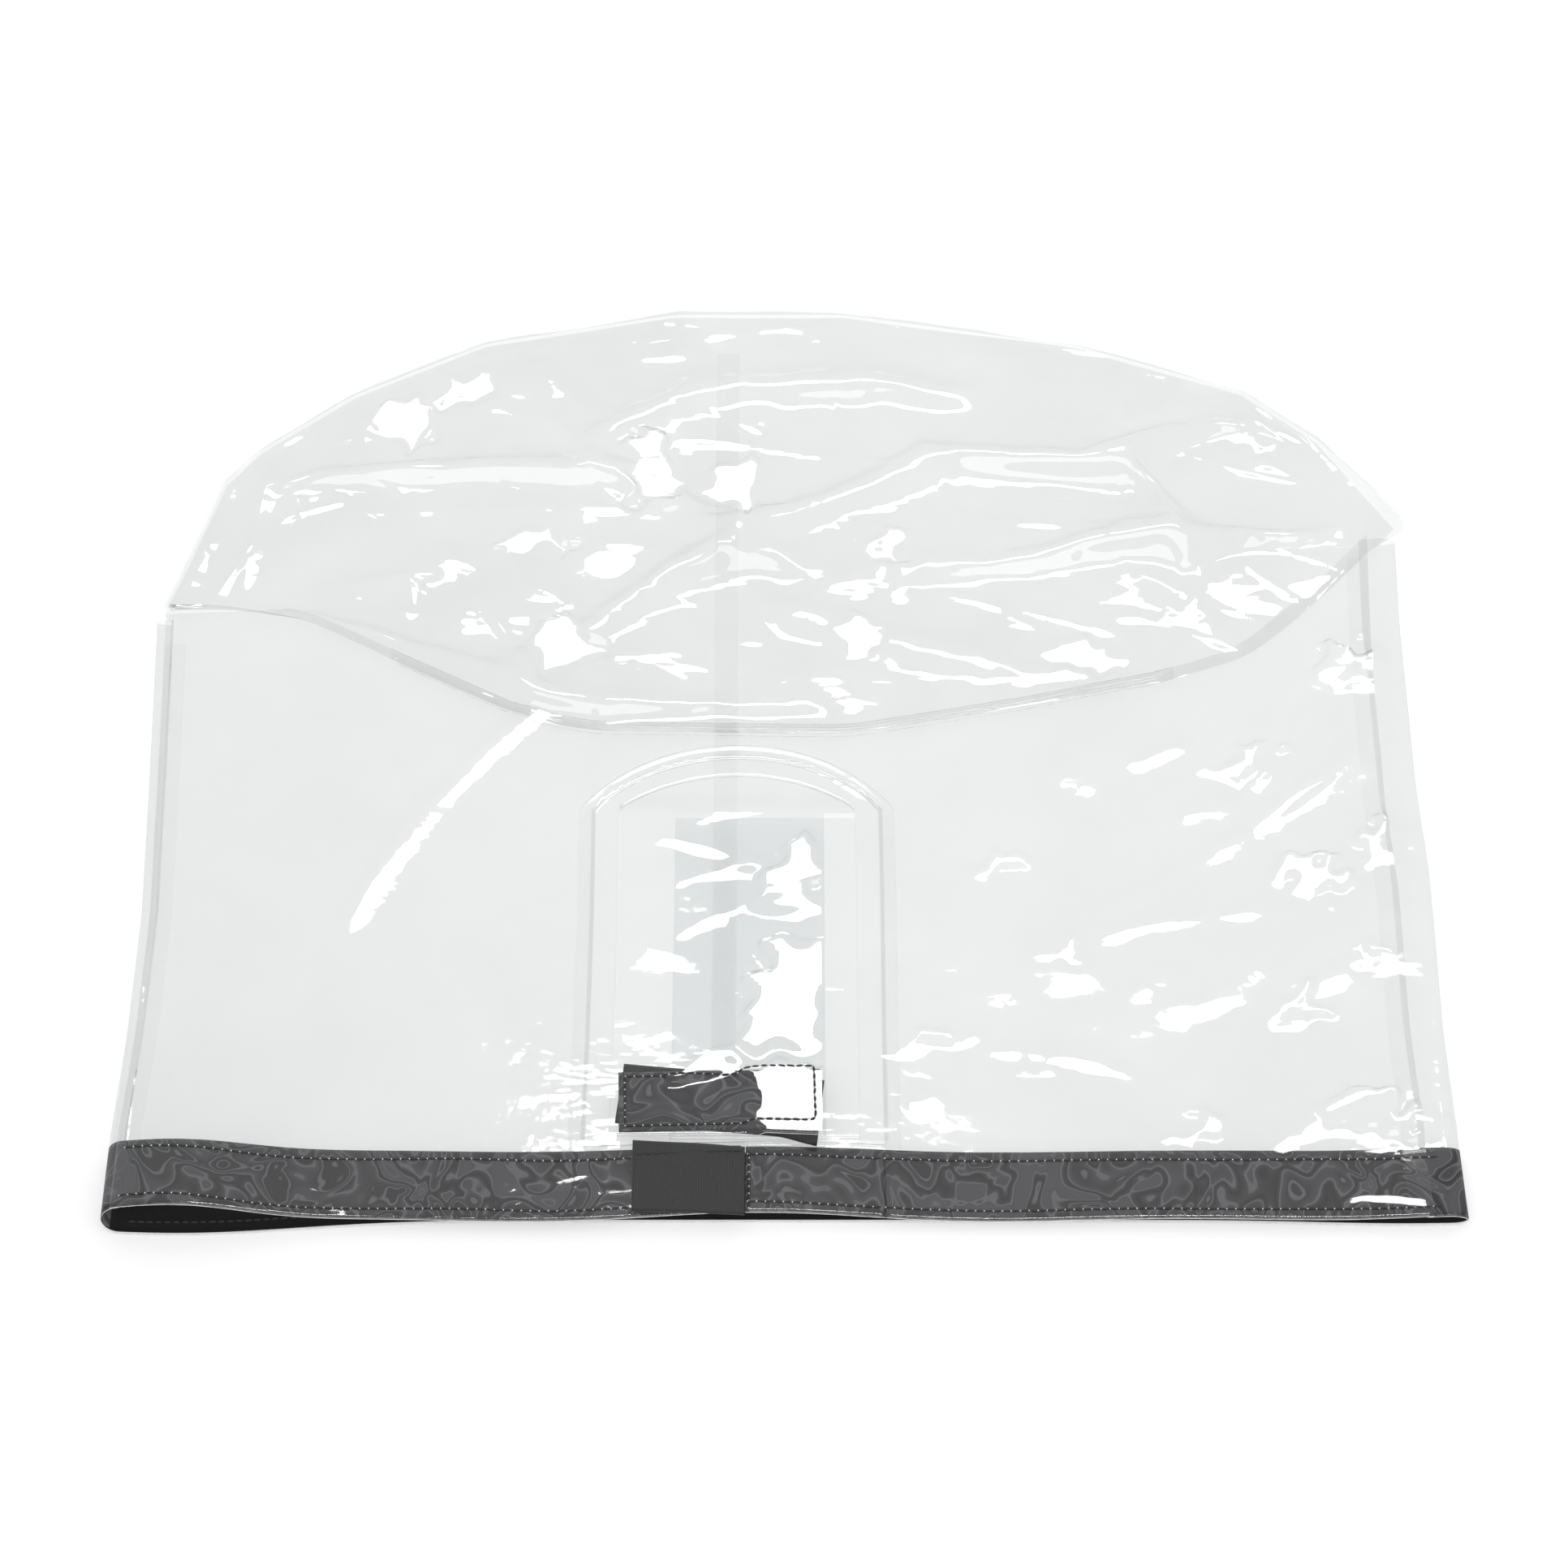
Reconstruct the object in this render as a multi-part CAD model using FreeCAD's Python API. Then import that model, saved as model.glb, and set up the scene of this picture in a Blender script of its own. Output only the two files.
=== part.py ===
"""Clear film slip cover with a domed crown, lying flat, as separate sub-parts.

The cover is a flattened tube of clear PVC film, closed at the far end by a domed
crown and open at the hem, with a black hook-and-loop tape sewn inside the hem.
The front has an arched access pouch. Its left half is a flap that laps over its
right half and is held by two tapes. Below it, the hem is slit: a short strap
bridges the slot, and a woven tab on the strap grips the hem's outside.

Sizes are in millimetres. Shapes are drawn with Y measured from the hem, and save()
moves them so that the origin is the middle of the footprint, on the table.
X runs along the hem, Y from the hem to the crown, Z up.
"""

import FreeCAD
import Part
import os

Vector = FreeCAD.Vector

# Driving dimensions
WIDTH = 640.0  # flat width over the side folds
LENGTH = 588.0  # hem to the crown's far edge
FILM = 0.4  # clear film
TAPE = 1.2  # hem tape with its pile
TAPE_WIDTH = 38.0
GAP = 7.4  # free height between the hem's two tapes
CROWN_RISE = 7.0  # slack crown above the front panel
THREAD = 0.3  # height that a stitch row stands proud
THREAD_WIDTH = 0.6
AIR = 0.3  # between pieces that move past each other
WELD_WIDTH = 8.0

# Levels, from the table up
HALF = WIDTH / 2
BACK_TOP = FILM
FRONT_UNDER = FILM + TAPE + GAP + TAPE
FRONT_TOP = FRONT_UNDER + FILM
CROWN_TOP = FRONT_TOP + CROWN_RISE
CURL_RADIUS = FRONT_UNDER / 2  # outside of a side fold
CURL_X = HALF - CURL_RADIUS

# Front panel, whose side edges are welded on to the back panel's folded edges
LEFT_CORNER_Y = 372.0  # where the left side fold ends and the crown begins
RIGHT_CORNER_Y = 430.0
LEFT_SEAM_X = -HALF + 5.0
RIGHT_SEAM_X = HALF - 17.0
LAP = 12.0
CROWN_WELD_HALF = 200.0  # half of the length of the weld under the crown's slack
SIDE_WELD_SHORT = 20.0  # how far the side welds stop short of the crown's corners
BACK_SEAM_LEFT = -36.0
BACK_SEAM_RIGHT = -24.0
BACK_SEAM_SHORT = 30.0  # how far the back seam stops short of the crown's far edge
ROOF_SCALE = 0.9  # flat top of the crown's slack, against its outline

# Hem
TAPE_LOW = 1.0  # tape's lower edge above the film's edge
TAPE_HIGH = TAPE_LOW + TAPE_WIDTH
STITCH_INSET = 5.0
LOWER_ROW_Y = TAPE_LOW + STITCH_INSET
UPPER_ROW_Y = TAPE_HIGH - STITCH_INSET
ROW_MARGIN = 1.0  # a stitch row starts this far inside its tape's ends

# Access pouch: an arch-shaped cut-out, its weld outside it and a folded gusset inside it
ARCH_X = -24.0
ARCH_HALF = 71.0
ARCH_SPRING_Y = 246.0
ARCH_TOP_Y = 279.0
ARCH_LOW_Y = 42.0
WELD_LOW_Y = 35.5
ARCH_LEFT = ARCH_X - ARCH_HALF
ARCH_RIGHT = ARCH_X + ARCH_HALF
GUSSET = 12.0
FLAP_HIGH_Y = 240.0  # top of the part of the pouch that opens
OVERLAP_EDGE_X = 20.0  # free edge of the left half, which is on top
UNDERLAP_EDGE_X = -55.0  # free edge of the right half, which is below

# Closure tapes of the pouch
CLOSURE_TAPE = 0.9
CLOSURE_LENGTH = 96.0
CLOSURE_HEIGHT = 36.0
CLOSURE_CENTRE = (-31.0, 64.0)
BOX_INSET = 3.0  # box stitch, inside the tape's edge
LOOP_TILT = 1.5
HOOK_TILT = -3.5
HOOK_Z = FRONT_TOP + FILM
LOOP_Z = HOOK_Z + CLOSURE_TAPE + AIR
OVERLAP_Z = LOOP_Z + CLOSURE_TAPE

# Slit at the hem, with its strap and tab
SLIT_X = -19.0
TAB_LENGTH = 53.0
TAB_LOW_Y = 0.5
TAB_HIGH_Y = 40.5
PATCH_INSET = 2.0
TAB_ROW_INSET = 6.0
TAB_Z = FRONT_TOP + TAPE + AIR


def block(x0, x1, y0, y1, z0, z1):
    return Part.makeBox(x1 - x0, y1 - y0, z1 - z0, Vector(x0, y0, z0))


def line(a, b):
    return Part.LineSegment(Vector(*a, 0), Vector(*b, 0)).toShape()


def arc(a, through, b):
    return Part.Arc(Vector(*a, 0), Vector(*through, 0), Vector(*b, 0)).toShape()


def polyline(points):
    return [line(a, b) for a, b in zip(points, points[1:])]


def prism(edges, z0, z1):
    """A closed flat outline drawn at Z 0, made into a solid from z0 to z1."""
    solid = Part.Face(Part.Wire(edges)).extrude(Vector(0, 0, z1 - z0))
    solid.translate(Vector(0, 0, z0))
    return solid


def tilted(shape, degrees):
    shape.rotate(Vector(*CLOSURE_CENTRE, 0), Vector(0, 0, 1), degrees)
    return shape


def row(x0, x1, y, z):
    """A straight stitch row along X."""
    return block(x0, x1, y, y + THREAD_WIDTH, z, z + THREAD)


def closure_block(inset, z0, z1):
    """A closure tape's rectangle, moved inwards by inset."""
    x, y = CLOSURE_CENTRE
    half_x, half_y = CLOSURE_LENGTH / 2 - inset, CLOSURE_HEIGHT / 2 - inset
    return block(x - half_x, x + half_x, y - half_y, y + half_y, z0, z1)


def closure_tape(z):
    return closure_block(0, z, z + CLOSURE_TAPE)


def box_stitch(z):
    """A rectangle of stitches round the edge of a closure tape."""
    inner = closure_block(BOX_INSET + THREAD_WIDTH, z - 1, z + 1)
    return closure_block(BOX_INSET, z, z + THREAD).cut(inner)


def seam_y(x):
    """Height on the page of the front panel's top edge, which slopes up to the right."""
    slope = (RIGHT_CORNER_Y - LEFT_CORNER_Y) / (RIGHT_SEAM_X - LEFT_SEAM_X)
    return LEFT_CORNER_Y + (x - LEFT_SEAM_X) * slope


def far_edge(half):
    """The crown's far edge, from the left corner over the top to the right corner."""
    left = (-227.0, 526.0)
    top = (0.0, LENGTH)
    right = (235.0, 533.0)
    return [
        arc((-half, LEFT_CORNER_Y), (-293, 462), left),
        arc(left, (-115, 573), top),
        arc(top, (124, 574), right),
        arc(right, (293, 490), (half, RIGHT_CORNER_Y)),
    ]


def near_edge(half):
    """Where the crown's slack folds over the front panel, from right to left."""
    middle = [(226, 345), (40, 296), (-120, 300), (-240, 367)]
    return polyline([(half, RIGHT_CORNER_Y)] + middle + [(-half, LEFT_CORNER_Y)])


def arch(out, low):
    """The cut-out's outline moved outwards by out, closed across at Y low."""
    left, right = ARCH_LEFT - out, ARCH_RIGHT + out
    return [
        line((left, low), (left, ARCH_SPRING_Y)),
        arc((left, ARCH_SPRING_Y), (ARCH_X, ARCH_TOP_Y + out), (right, ARCH_SPRING_Y)),
        line((right, ARCH_SPRING_Y), (right, low)),
        line((right, low), (left, low)),
    ]


def wrap(side, low, high, thickness, inner_end, y0, y1):
    """A sheet folded round one side of the tube, with a flange above and one below."""
    radius = (high - low) / 2
    centre = Vector(CURL_X, y0, low + radius)
    ring = Part.makeCylinder(radius, y1 - y0, centre, Vector(0, 1, 0))
    ring = ring.cut(Part.makeCylinder(radius - thickness, y1 - y0, centre, Vector(0, 1, 0)))
    ring = ring.common(block(CURL_X, HALF, y0, y1, low, high))
    bottom = block(0, CURL_X, y0, y1, low, low + thickness)
    top = block(inner_end, CURL_X, y0, y1, high - thickness, high)
    strip = ring.fuse([bottom, top])
    return strip if side > 0 else strip.mirror(Vector(0, 0, 0), Vector(1, 0, 0))


def back_panel():
    """The back film, folded round both sides to meet the front film from below."""
    corner = [(CURL_X, RIGHT_CORNER_Y), (CURL_X, 0), (-CURL_X, 0), (-CURL_X, LEFT_CORNER_Y)]
    flat = prism(far_edge(CURL_X) + polyline(corner), 0, FILM)
    left = wrap(-1, 0, FRONT_UNDER, FILM, -LEFT_SEAM_X - LAP, 0, LEFT_CORNER_Y)
    right = wrap(1, 0, FRONT_UNDER, FILM, RIGHT_SEAM_X - LAP, 0, RIGHT_CORNER_Y)
    return flat.fuse([left, right]).removeSplitter()


def front_panel():
    """The front film, with the pouch's cut-out and the strap's gap below it."""
    top = [(LEFT_SEAM_X, LEFT_CORNER_Y), (RIGHT_SEAM_X, RIGHT_CORNER_Y), (RIGHT_SEAM_X, 0)]
    sheet = prism(polyline(top + [(LEFT_SEAM_X, 0), top[0]]), FRONT_UNDER, FRONT_TOP)
    sheet = sheet.cut(prism(arch(0, ARCH_LOW_Y), FRONT_UNDER - 1, FRONT_TOP + 1))
    return sheet.cut(block(SLIT_X, ARCH_RIGHT, -1, ARCH_LOW_Y + 1, FRONT_UNDER - 1, FRONT_TOP + 1))


def crown_panel():
    """A low slack shell: its far side stands on the back film, its near side on the front film."""
    base = Part.Wire(far_edge(HALF) + near_edge(HALF))
    roof = base.copy()
    roof.scale(ROOF_SCALE, Vector(0, (LENGTH + ARCH_TOP_Y) / 2, 0))
    base.translate(Vector(0, 0, BACK_TOP))
    roof.translate(Vector(0, 0, CROWN_TOP))
    outer = Part.makeLoft([base, roof], True, True)
    inner = outer.copy()
    inner.translate(Vector(0, 0, -FILM))
    tube_end = polyline(
        [(-HALF, 0), (HALF, 0), (HALF, RIGHT_CORNER_Y), (-HALF, LEFT_CORNER_Y), (-HALF, 0)]
    )
    return outer.cut(inner).cut(prism(tube_end, -1, FRONT_TOP))


def weld_strips():
    """Narrow welded strips that join the large films."""
    top = FRONT_TOP + FILM
    end = CROWN_WELD_HALF
    crown = [(-end, seam_y(-end)), (end, seam_y(end))]
    crown += [(x, y - WELD_WIDTH) for x, y in reversed(crown)]
    width = LAP - 1
    left_y, right_y = LEFT_CORNER_Y - SIDE_WELD_SHORT, RIGHT_CORNER_Y - SIDE_WELD_SHORT
    left = block(LEFT_SEAM_X, LEFT_SEAM_X + width, 0, left_y, FRONT_TOP, top)
    right = block(RIGHT_SEAM_X - width, RIGHT_SEAM_X, 0, right_y, FRONT_TOP, top)
    back_low, back_high = TAPE_HIGH + 1, LENGTH - BACK_SEAM_SHORT
    ring = prism(arch(WELD_WIDTH, WELD_LOW_Y), top, top + FILM)
    return {
        "crown_weld_strip": prism(polyline(crown + crown[:1]), FRONT_TOP, top),
        "side_weld_left": left,
        "side_weld_right": right,
        "back_seam_strip": block(
            BACK_SEAM_LEFT, BACK_SEAM_RIGHT, back_low, back_high, BACK_TOP, BACK_TOP + FILM
        ),
        "pouch_weld_strip": ring.cut(prism(arch(0, WELD_LOW_Y - 1), top - 1, top + 1)),
    }


def pouch():
    """The parts of the pouch that stay put: its gusset, its head and its lower layer."""
    top = FRONT_TOP + FILM
    gusset = prism(arch(WELD_WIDTH, WELD_LOW_Y), FRONT_TOP, top)
    gusset = gusset.cut(prism(arch(-GUSSET, WELD_LOW_Y - 1), FRONT_TOP - 1, top + 1))
    gusset = gusset.cut(block(ARCH_LEFT, ARCH_RIGHT, 0, ARCH_LOW_Y, FRONT_TOP - 1, top + 1))
    head = prism(arch(-GUSSET, FLAP_HIGH_Y + AIR), FRONT_TOP, top)
    right = ARCH_RIGHT - GUSSET
    underlap = block(UNDERLAP_EDGE_X, right, ARCH_LOW_Y, FLAP_HIGH_Y, FRONT_TOP, top)
    return {
        "pouch_gusset": gusset,
        "pouch_head": head,
        "underlap_panel": underlap,
        "closure_hook_tape": tilted(closure_tape(HOOK_Z), HOOK_TILT),
    }


def overlap_flap():
    """The upper layer of the pouch, with the loop tape box-stitched to its inside."""
    left = ARCH_LEFT + GUSSET + AIR
    top = OVERLAP_Z + FILM
    panel = block(left, OVERLAP_EDGE_X, ARCH_LOW_Y, FLAP_HIGH_Y, OVERLAP_Z, top)
    riser = block(left, left + FILM, ARCH_LOW_Y, FLAP_HIGH_Y, FRONT_TOP, top)
    return {
        "overlap_panel": panel.fuse(riser).removeSplitter(),
        "closure_loop_tape": tilted(closure_tape(LOOP_Z), LOOP_TILT),
        "closure_box_thread": tilted(box_stitch(top), LOOP_TILT),
    }


def hem():
    """The hem tape, which runs round the inside of the mouth, and its stitches."""
    under = FRONT_UNDER - TAPE
    left_end, right_end = LEFT_SEAM_X + LAP, RIGHT_SEAM_X - LAP
    low, high = BACK_TOP, FRONT_UNDER - FILM
    lengths = [
        wrap(1, low, high, TAPE, right_end, TAPE_LOW, TAPE_HIGH),
        block(left_end, SLIT_X, TAPE_LOW, TAPE_HIGH, under, FRONT_UNDER),
        block(ARCH_RIGHT, right_end, TAPE_LOW, TAPE_HIGH, under, FRONT_UNDER),
    ]
    tape = wrap(-1, low, high, TAPE, -left_end, TAPE_LOW, TAPE_HIGH).fuse(lengths).removeSplitter()
    patch_x0, patch_x1 = SLIT_X - TAB_LENGTH + PATCH_INSET, SLIT_X - PATCH_INSET
    patch_y0, patch_y1 = TAB_LOW_Y + PATCH_INSET, TAB_HIGH_Y - PATCH_INSET
    parts = {
        "hem_tape": tape,
        "hem_loop_patch": block(patch_x0, patch_x1, patch_y0, patch_y1, FRONT_TOP, FRONT_TOP + TAPE),
    }
    spans = [(left_end, patch_x0 - AIR), (ARCH_RIGHT + WELD_WIDTH + 1, right_end)]
    for name, y in (("upper", UPPER_ROW_Y), ("lower", LOWER_ROW_Y)):
        rows = [row(x0, x1, y, FRONT_TOP) for x0, x1 in spans]
        parts["hem_thread_" + name] = Part.makeCompound(rows)
    back_rows = [row(-CURL_X, CURL_X, y, BACK_TOP + TAPE) for y in (UPPER_ROW_Y, LOWER_ROW_Y)]
    parts["hem_thread_back"] = Part.makeCompound(back_rows)
    return parts


def hem_strap():
    """The short strap across the slot: film, tape and stitches."""
    left, right = SLIT_X + AIR, ARCH_RIGHT - AIR
    row_left, row_right = left + ROW_MARGIN, right - ROW_MARGIN
    rows = [row(row_left, row_right, y, FRONT_TOP) for y in (UPPER_ROW_Y, LOWER_ROW_Y)]
    return {
        "strap_film": block(left, right, 0, ARCH_LOW_Y - AIR, FRONT_UNDER, FRONT_TOP),
        "strap_tape": block(left, right, TAPE_LOW, TAPE_HIGH, FRONT_UNDER - TAPE, FRONT_UNDER),
        "strap_thread": Part.makeCompound(rows),
    }


def hem_tab():
    """The woven tab on the strap's end, lying on the hem's loop patch."""
    x0, x1 = SLIT_X - TAB_LENGTH, SLIT_X
    top = TAB_Z + TAPE
    return {
        "tab_tape": block(x0, x1, TAB_LOW_Y, TAB_HIGH_Y, TAB_Z, top),
        "tab_thread": row(x0 + ROW_MARGIN, x1 - ROW_MARGIN, TAB_HIGH_Y - TAB_ROW_INSET, top),
    }


def panels():
    return {"back_panel": back_panel(), "front_panel": front_panel(), "crown_panel": crown_panel()}


def save(parts):
    os.makedirs("parts", exist_ok=True)
    for name, shape in parts.items():
        shape = shape.copy()
        shape.translate(Vector(0, -LENGTH / 2, 0))
        solids = shape.Solids
        if not solids or any(not s.isValid() or s.Volume <= 0 for s in solids):
            raise ValueError(name + " isn't a valid solid")
        shape.exportStep(os.path.join("parts", name + ".step"))
        box = shape.BoundBox
        low = [round(v, 2) for v in (box.XMin, box.YMin, box.ZMin)]
        high = [round(v, 2) for v in (box.XMax, box.YMax, box.ZMax)]
        print(name, len(solids), "solid(s)", low, high)


def main():
    parts = {}
    for group in (panels, weld_strips, pouch, overlap_flap, hem, hem_strap, hem_tab):
        parts.update(group())
    save(parts)
    print("hinge lines, x and height in mm, all along Y:")
    print("overlap flap", ARCH_LEFT + GUSSET + AIR, round(OVERLAP_Z + FILM + THREAD, 3))
    print("hem strap", ARCH_RIGHT - AIR, round(FRONT_TOP + THREAD, 3))
    print("hem tab", SLIT_X, round(TAB_Z + TAPE + THREAD, 3))


main()
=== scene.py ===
"""The clear slip cover, lying flat: crumpled film, taped hem, stitches and access pouch.

Shapes are worked out in page millimetres: X along the hem, Y from the hem towards the
crown, Z above the table. put() turns them into the frame's metres.
"""

import math

import bmesh
import bpy
import numpy as np
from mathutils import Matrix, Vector
from mathutils.geometry import delaunay_2d_cdt


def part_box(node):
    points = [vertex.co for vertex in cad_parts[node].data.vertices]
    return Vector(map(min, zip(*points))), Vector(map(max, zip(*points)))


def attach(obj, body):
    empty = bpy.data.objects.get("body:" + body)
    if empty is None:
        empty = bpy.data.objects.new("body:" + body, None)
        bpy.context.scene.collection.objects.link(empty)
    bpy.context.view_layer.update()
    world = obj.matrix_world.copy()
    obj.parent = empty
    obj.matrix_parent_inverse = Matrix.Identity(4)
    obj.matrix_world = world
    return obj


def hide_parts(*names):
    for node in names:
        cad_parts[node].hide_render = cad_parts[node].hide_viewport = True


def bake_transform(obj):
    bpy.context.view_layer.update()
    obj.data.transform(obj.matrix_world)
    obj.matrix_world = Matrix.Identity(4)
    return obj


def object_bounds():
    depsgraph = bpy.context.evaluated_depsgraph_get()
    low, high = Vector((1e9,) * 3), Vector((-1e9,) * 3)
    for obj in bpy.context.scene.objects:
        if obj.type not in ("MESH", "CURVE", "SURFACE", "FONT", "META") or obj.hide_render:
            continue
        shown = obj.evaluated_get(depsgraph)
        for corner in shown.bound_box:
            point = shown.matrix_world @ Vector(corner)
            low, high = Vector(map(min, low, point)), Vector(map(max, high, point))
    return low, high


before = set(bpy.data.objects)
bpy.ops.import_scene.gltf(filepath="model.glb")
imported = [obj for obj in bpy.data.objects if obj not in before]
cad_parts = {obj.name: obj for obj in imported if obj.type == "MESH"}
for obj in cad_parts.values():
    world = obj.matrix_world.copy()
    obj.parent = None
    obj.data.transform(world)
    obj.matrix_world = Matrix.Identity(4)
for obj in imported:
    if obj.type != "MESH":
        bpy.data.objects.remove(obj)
CAD_LOW, CAD_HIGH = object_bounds()

MM = 0.001
HEM_Y = CAD_LOW.y
HALF = CAD_HIGH.x / MM
LENGTH = (CAD_HIGH.y - CAD_LOW.y) / MM


def page_box(node):
    """A CAD node's lowest and highest corners in page millimetres."""
    low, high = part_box(node)
    return [(c.x / MM, (c.y - HEM_Y) / MM, c.z / MM) for c in (low, high)]


CORNER_RISE = 20.0  # how far the tube's left corner stands above its side weld
WELD_WIDTH = 8.0
ARCH_RISE = 41.0  # from the springing of the pouch's arch to the top of its weld
GUSSET = 12.0  # width of the film ring inside the pouch's weld

# Places that the CAD settles, in page millimetres
(LEFT_SEAM, _, _), (RIGHT_SEAM, RIGHT_CORNER, _) = page_box("front_panel")
LEFT_CORNER = page_box("side_weld_left")[1][1] + CORNER_RISE
(_, TAPE_LOW, _), (_, TAPE_HIGH, _) = page_box("hem_tape")
(STRAP_LEFT, _, _), (STRAP_RIGHT, STRAP_HIGH, _) = page_box("strap_film")
(WELD_LEFT, WELD_LOW, _), (WELD_RIGHT, WELD_TOP, _) = page_box("pouch_weld_strip")
(UNDERLAP_LEFT, FLAP_LOW, _), (UNDERLAP_RIGHT, FLAP_HIGH, _) = page_box("underlap_panel")
(OVERLAP_LEFT, _, _), (OVERLAP_RIGHT, _, _) = page_box("overlap_panel")
(TAB_LEFT, TAB_LOW, _), (TAB_RIGHT, TAB_HIGH, _) = page_box("tab_tape")
UPPER_ROW = page_box("hem_thread_upper")[0][1]
LOWER_ROW = page_box("hem_thread_lower")[0][1]
ARCH_LEFT, ARCH_RIGHT = WELD_LEFT + WELD_WIDTH, WELD_RIGHT - WELD_WIDTH
ARCH_SPRING = WELD_TOP - ARCH_RISE
SLIT = TAB_RIGHT

# The cover as it lies
BACK_Z = 0.35
FRONT_Z = 8.0  # the front film's usual height
SETTLE = 5.0  # how much lower the front film lies behind its hem
SETTLE_LOW, SETTLE_HIGH = -40.0, 140.0  # between which distances from the hem it sinks
CROWN_Z = 8.0
UNDER_CROWN = 9.0  # how far the front film runs on under the crown's near fold
CROWN_SLACK = 34.0  # how high the crown stands before it slumps
ROUNDING = 9.0  # how far the crown's rounded far edge reaches in from its outline
FOLD_WIDTH = 9.0  # half-width of the round side folds
FILM_GAP = 0.45  # between films that lie on each other
TAPE_THICK = 0.9
TAPE_GAP = 0.35  # between the hem's film and its tape
STITCH_PITCH = 4.2
STITCH_GAP = 0.35  # from a needle hole to the end of its stitch
THREAD_LIFT = 0.25  # of a stitch's middle above its film

# How high the layers on the front film lie above it
GUSSET_LIFT = 0.5
PATCH_LIFT = 0.7
WELD_LIFT = 1.0
HEAD_LIFT = 1.4
UNDERLAP_LIFT = 1.5
TAB_LIFT = 2.0
HOOK_LIFT = 2.3
OVERLAP_LIFT = 4.2
LOOP_DROP = 0.9  # of the loop tape below the overlap film that holds it

# The slopes that turn a film at the page's origin towards the key light, and their growth per mm
CATCH_X, CATCH_X_GROWTH = -0.061, 0.00046
CATCH_Y, CATCH_Y_GROWTH = 0.052, 0.00034


# ---- smooth random fields


def ripples(x, y, seed, longest, shortest, count=24, stretch=1.0, angle=0.0):
    """A smooth random field of about unit size; stretch lengthens its waves along angle."""
    rng = np.random.default_rng(seed)
    turn = math.radians(angle)
    along = (x * math.cos(turn) + y * math.sin(turn)) / stretch
    across = -x * math.sin(turn) + y * math.cos(turn)
    field = np.zeros(np.shape(x))
    for _ in range(count):
        length = shortest * (longest / shortest) ** rng.random()
        heading, phase = rng.random(2) * 2 * math.pi
        wave = along * math.cos(heading) + across * math.sin(heading)
        field = field + np.sin(wave * 2 * math.pi / length + phase)
    return field * math.sqrt(2 / count)


def creases(field, width):
    """Sharp-topped ridges along the zero lines of a field."""
    return 1 - np.sqrt(field**2 + width**2) / (1 + width)


def step(value, start, end):
    """0 before start, 1 after end, and smooth between them."""
    t = np.clip((value - start) / (end - start), 0, 1)
    return t * t * (3 - 2 * t)


def bell(value, centre, width):
    """1 at the centre, falling smoothly to nothing on both sides."""
    return np.exp(-(((value - centre) / width) ** 2))


def catch_slope(x, y):
    """The slopes that relief at this place of the page needs along X and Y to face the key light.
    Along Y it also makes up for the front film's own fall, which is the slope of step()."""
    run = SETTLE_HIGH - SETTLE_LOW
    share = min(max((y - SETTLE_LOW) / run, 0), 1)
    settling = SETTLE * 6 * share * (1 - share) / run
    return CATCH_X_GROWTH * x + CATCH_X, CATCH_Y + CATCH_Y_GROWTH * y + settling


def streak(x, y, start, end, width, bend=0.0):
    """A soft ridge from start to end, just steep enough for its near side to catch the light. It
    bows sideways by bend and fades at both ends."""
    (x0, y0), (x1, y1) = start, end
    length = math.hypot(x1 - x0, y1 - y0)
    ux, uy = (x1 - x0) / length, (y1 - y0) / length
    along = ((x - x0) * ux + (y - y0) * uy) / length
    across = -(x - x0) * uy + (y - y0) * ux
    across = across - bend * 4 * along * (1 - along)
    fade = step(along, -0.05, 0.2) * (1 - step(along, 0.8, 1.05))
    needed = catch_slope((x0 + x1) / 2, (y0 + y1) / 2)[1] / max(abs(ux), 0.5)
    return 1.2 * width * needed * fade * np.exp(-((across / width) ** 2))


def pad(x, y, centre, half_width, length, turn=0.0, taper=0.65):
    """1 within a ragged pad of the page and 0 outside it; it loses the share taper of its width
    on the way up."""
    lean = math.radians(turn)
    dx, dy = x - centre[0], y - centre[1]
    ragged = ripples(x, y, 81, 40, 12, count=12)
    along = -dx * math.sin(lean) + dy * math.cos(lean) + 2.5 * ragged
    across = dx * math.cos(lean) + dy * math.sin(lean) + 3.5 * ragged
    reach = half_width * (1 - taper * np.clip(0.5 + along / length, 0, 1))
    window = 1 - step(np.abs(across), reach, reach + 5)
    return window * (1 - step(np.abs(along), length / 2, length / 2 + 6))


def facet(x, y, centre, half_width, length, turn=0.0, taper=0.65):
    """A pad of film that stands off and faces the light."""
    slope_x, slope_y = catch_slope(*centre)
    rise = slope_x * (x - centre[0]) + slope_y * (y - centre[1])
    rise = rise + abs(slope_x) * half_width + slope_y * length / 2
    return rise * pad(x, y, centre, half_width, length, turn, taper)


def raised_lines(field, width):
    """Narrow raised lines along the zeros of a field."""
    return np.exp(-((field / width) ** 2))


# ---- the cover's outline


def interpolated(value, points):
    """A smooth curve through a few (at, value) points."""
    at, to = np.array(points, float).T
    dense = np.linspace(at[0], at[-1], 240)
    curve = np.interp(dense, at, to)
    window = np.hanning(13)
    padded = np.pad(curve, 6, mode="reflect", reflect_type="odd")
    curve = np.convolve(padded, window / window.sum(), mode="valid")
    return np.interp(value, dense, curve)


# The crown's far edge, from its left corner round to its right corner
FAR_EDGE = [(-318, 376), (-306, 414), (-291, 465), (-273, 489), (-227, 528), (-158, 566)]
FAR_EDGE += [(-59, LENGTH - 1), (31, LENGTH - 1), (155, 564), (240, 531), (278, 496), (315, 436)]


def left_edge(y):
    """X of the tube's left outline at y."""
    return interpolated(y, [(0, -320), (50, -319), (105, -316), (180, -314), (268, -316), (372, -319)])


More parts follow.
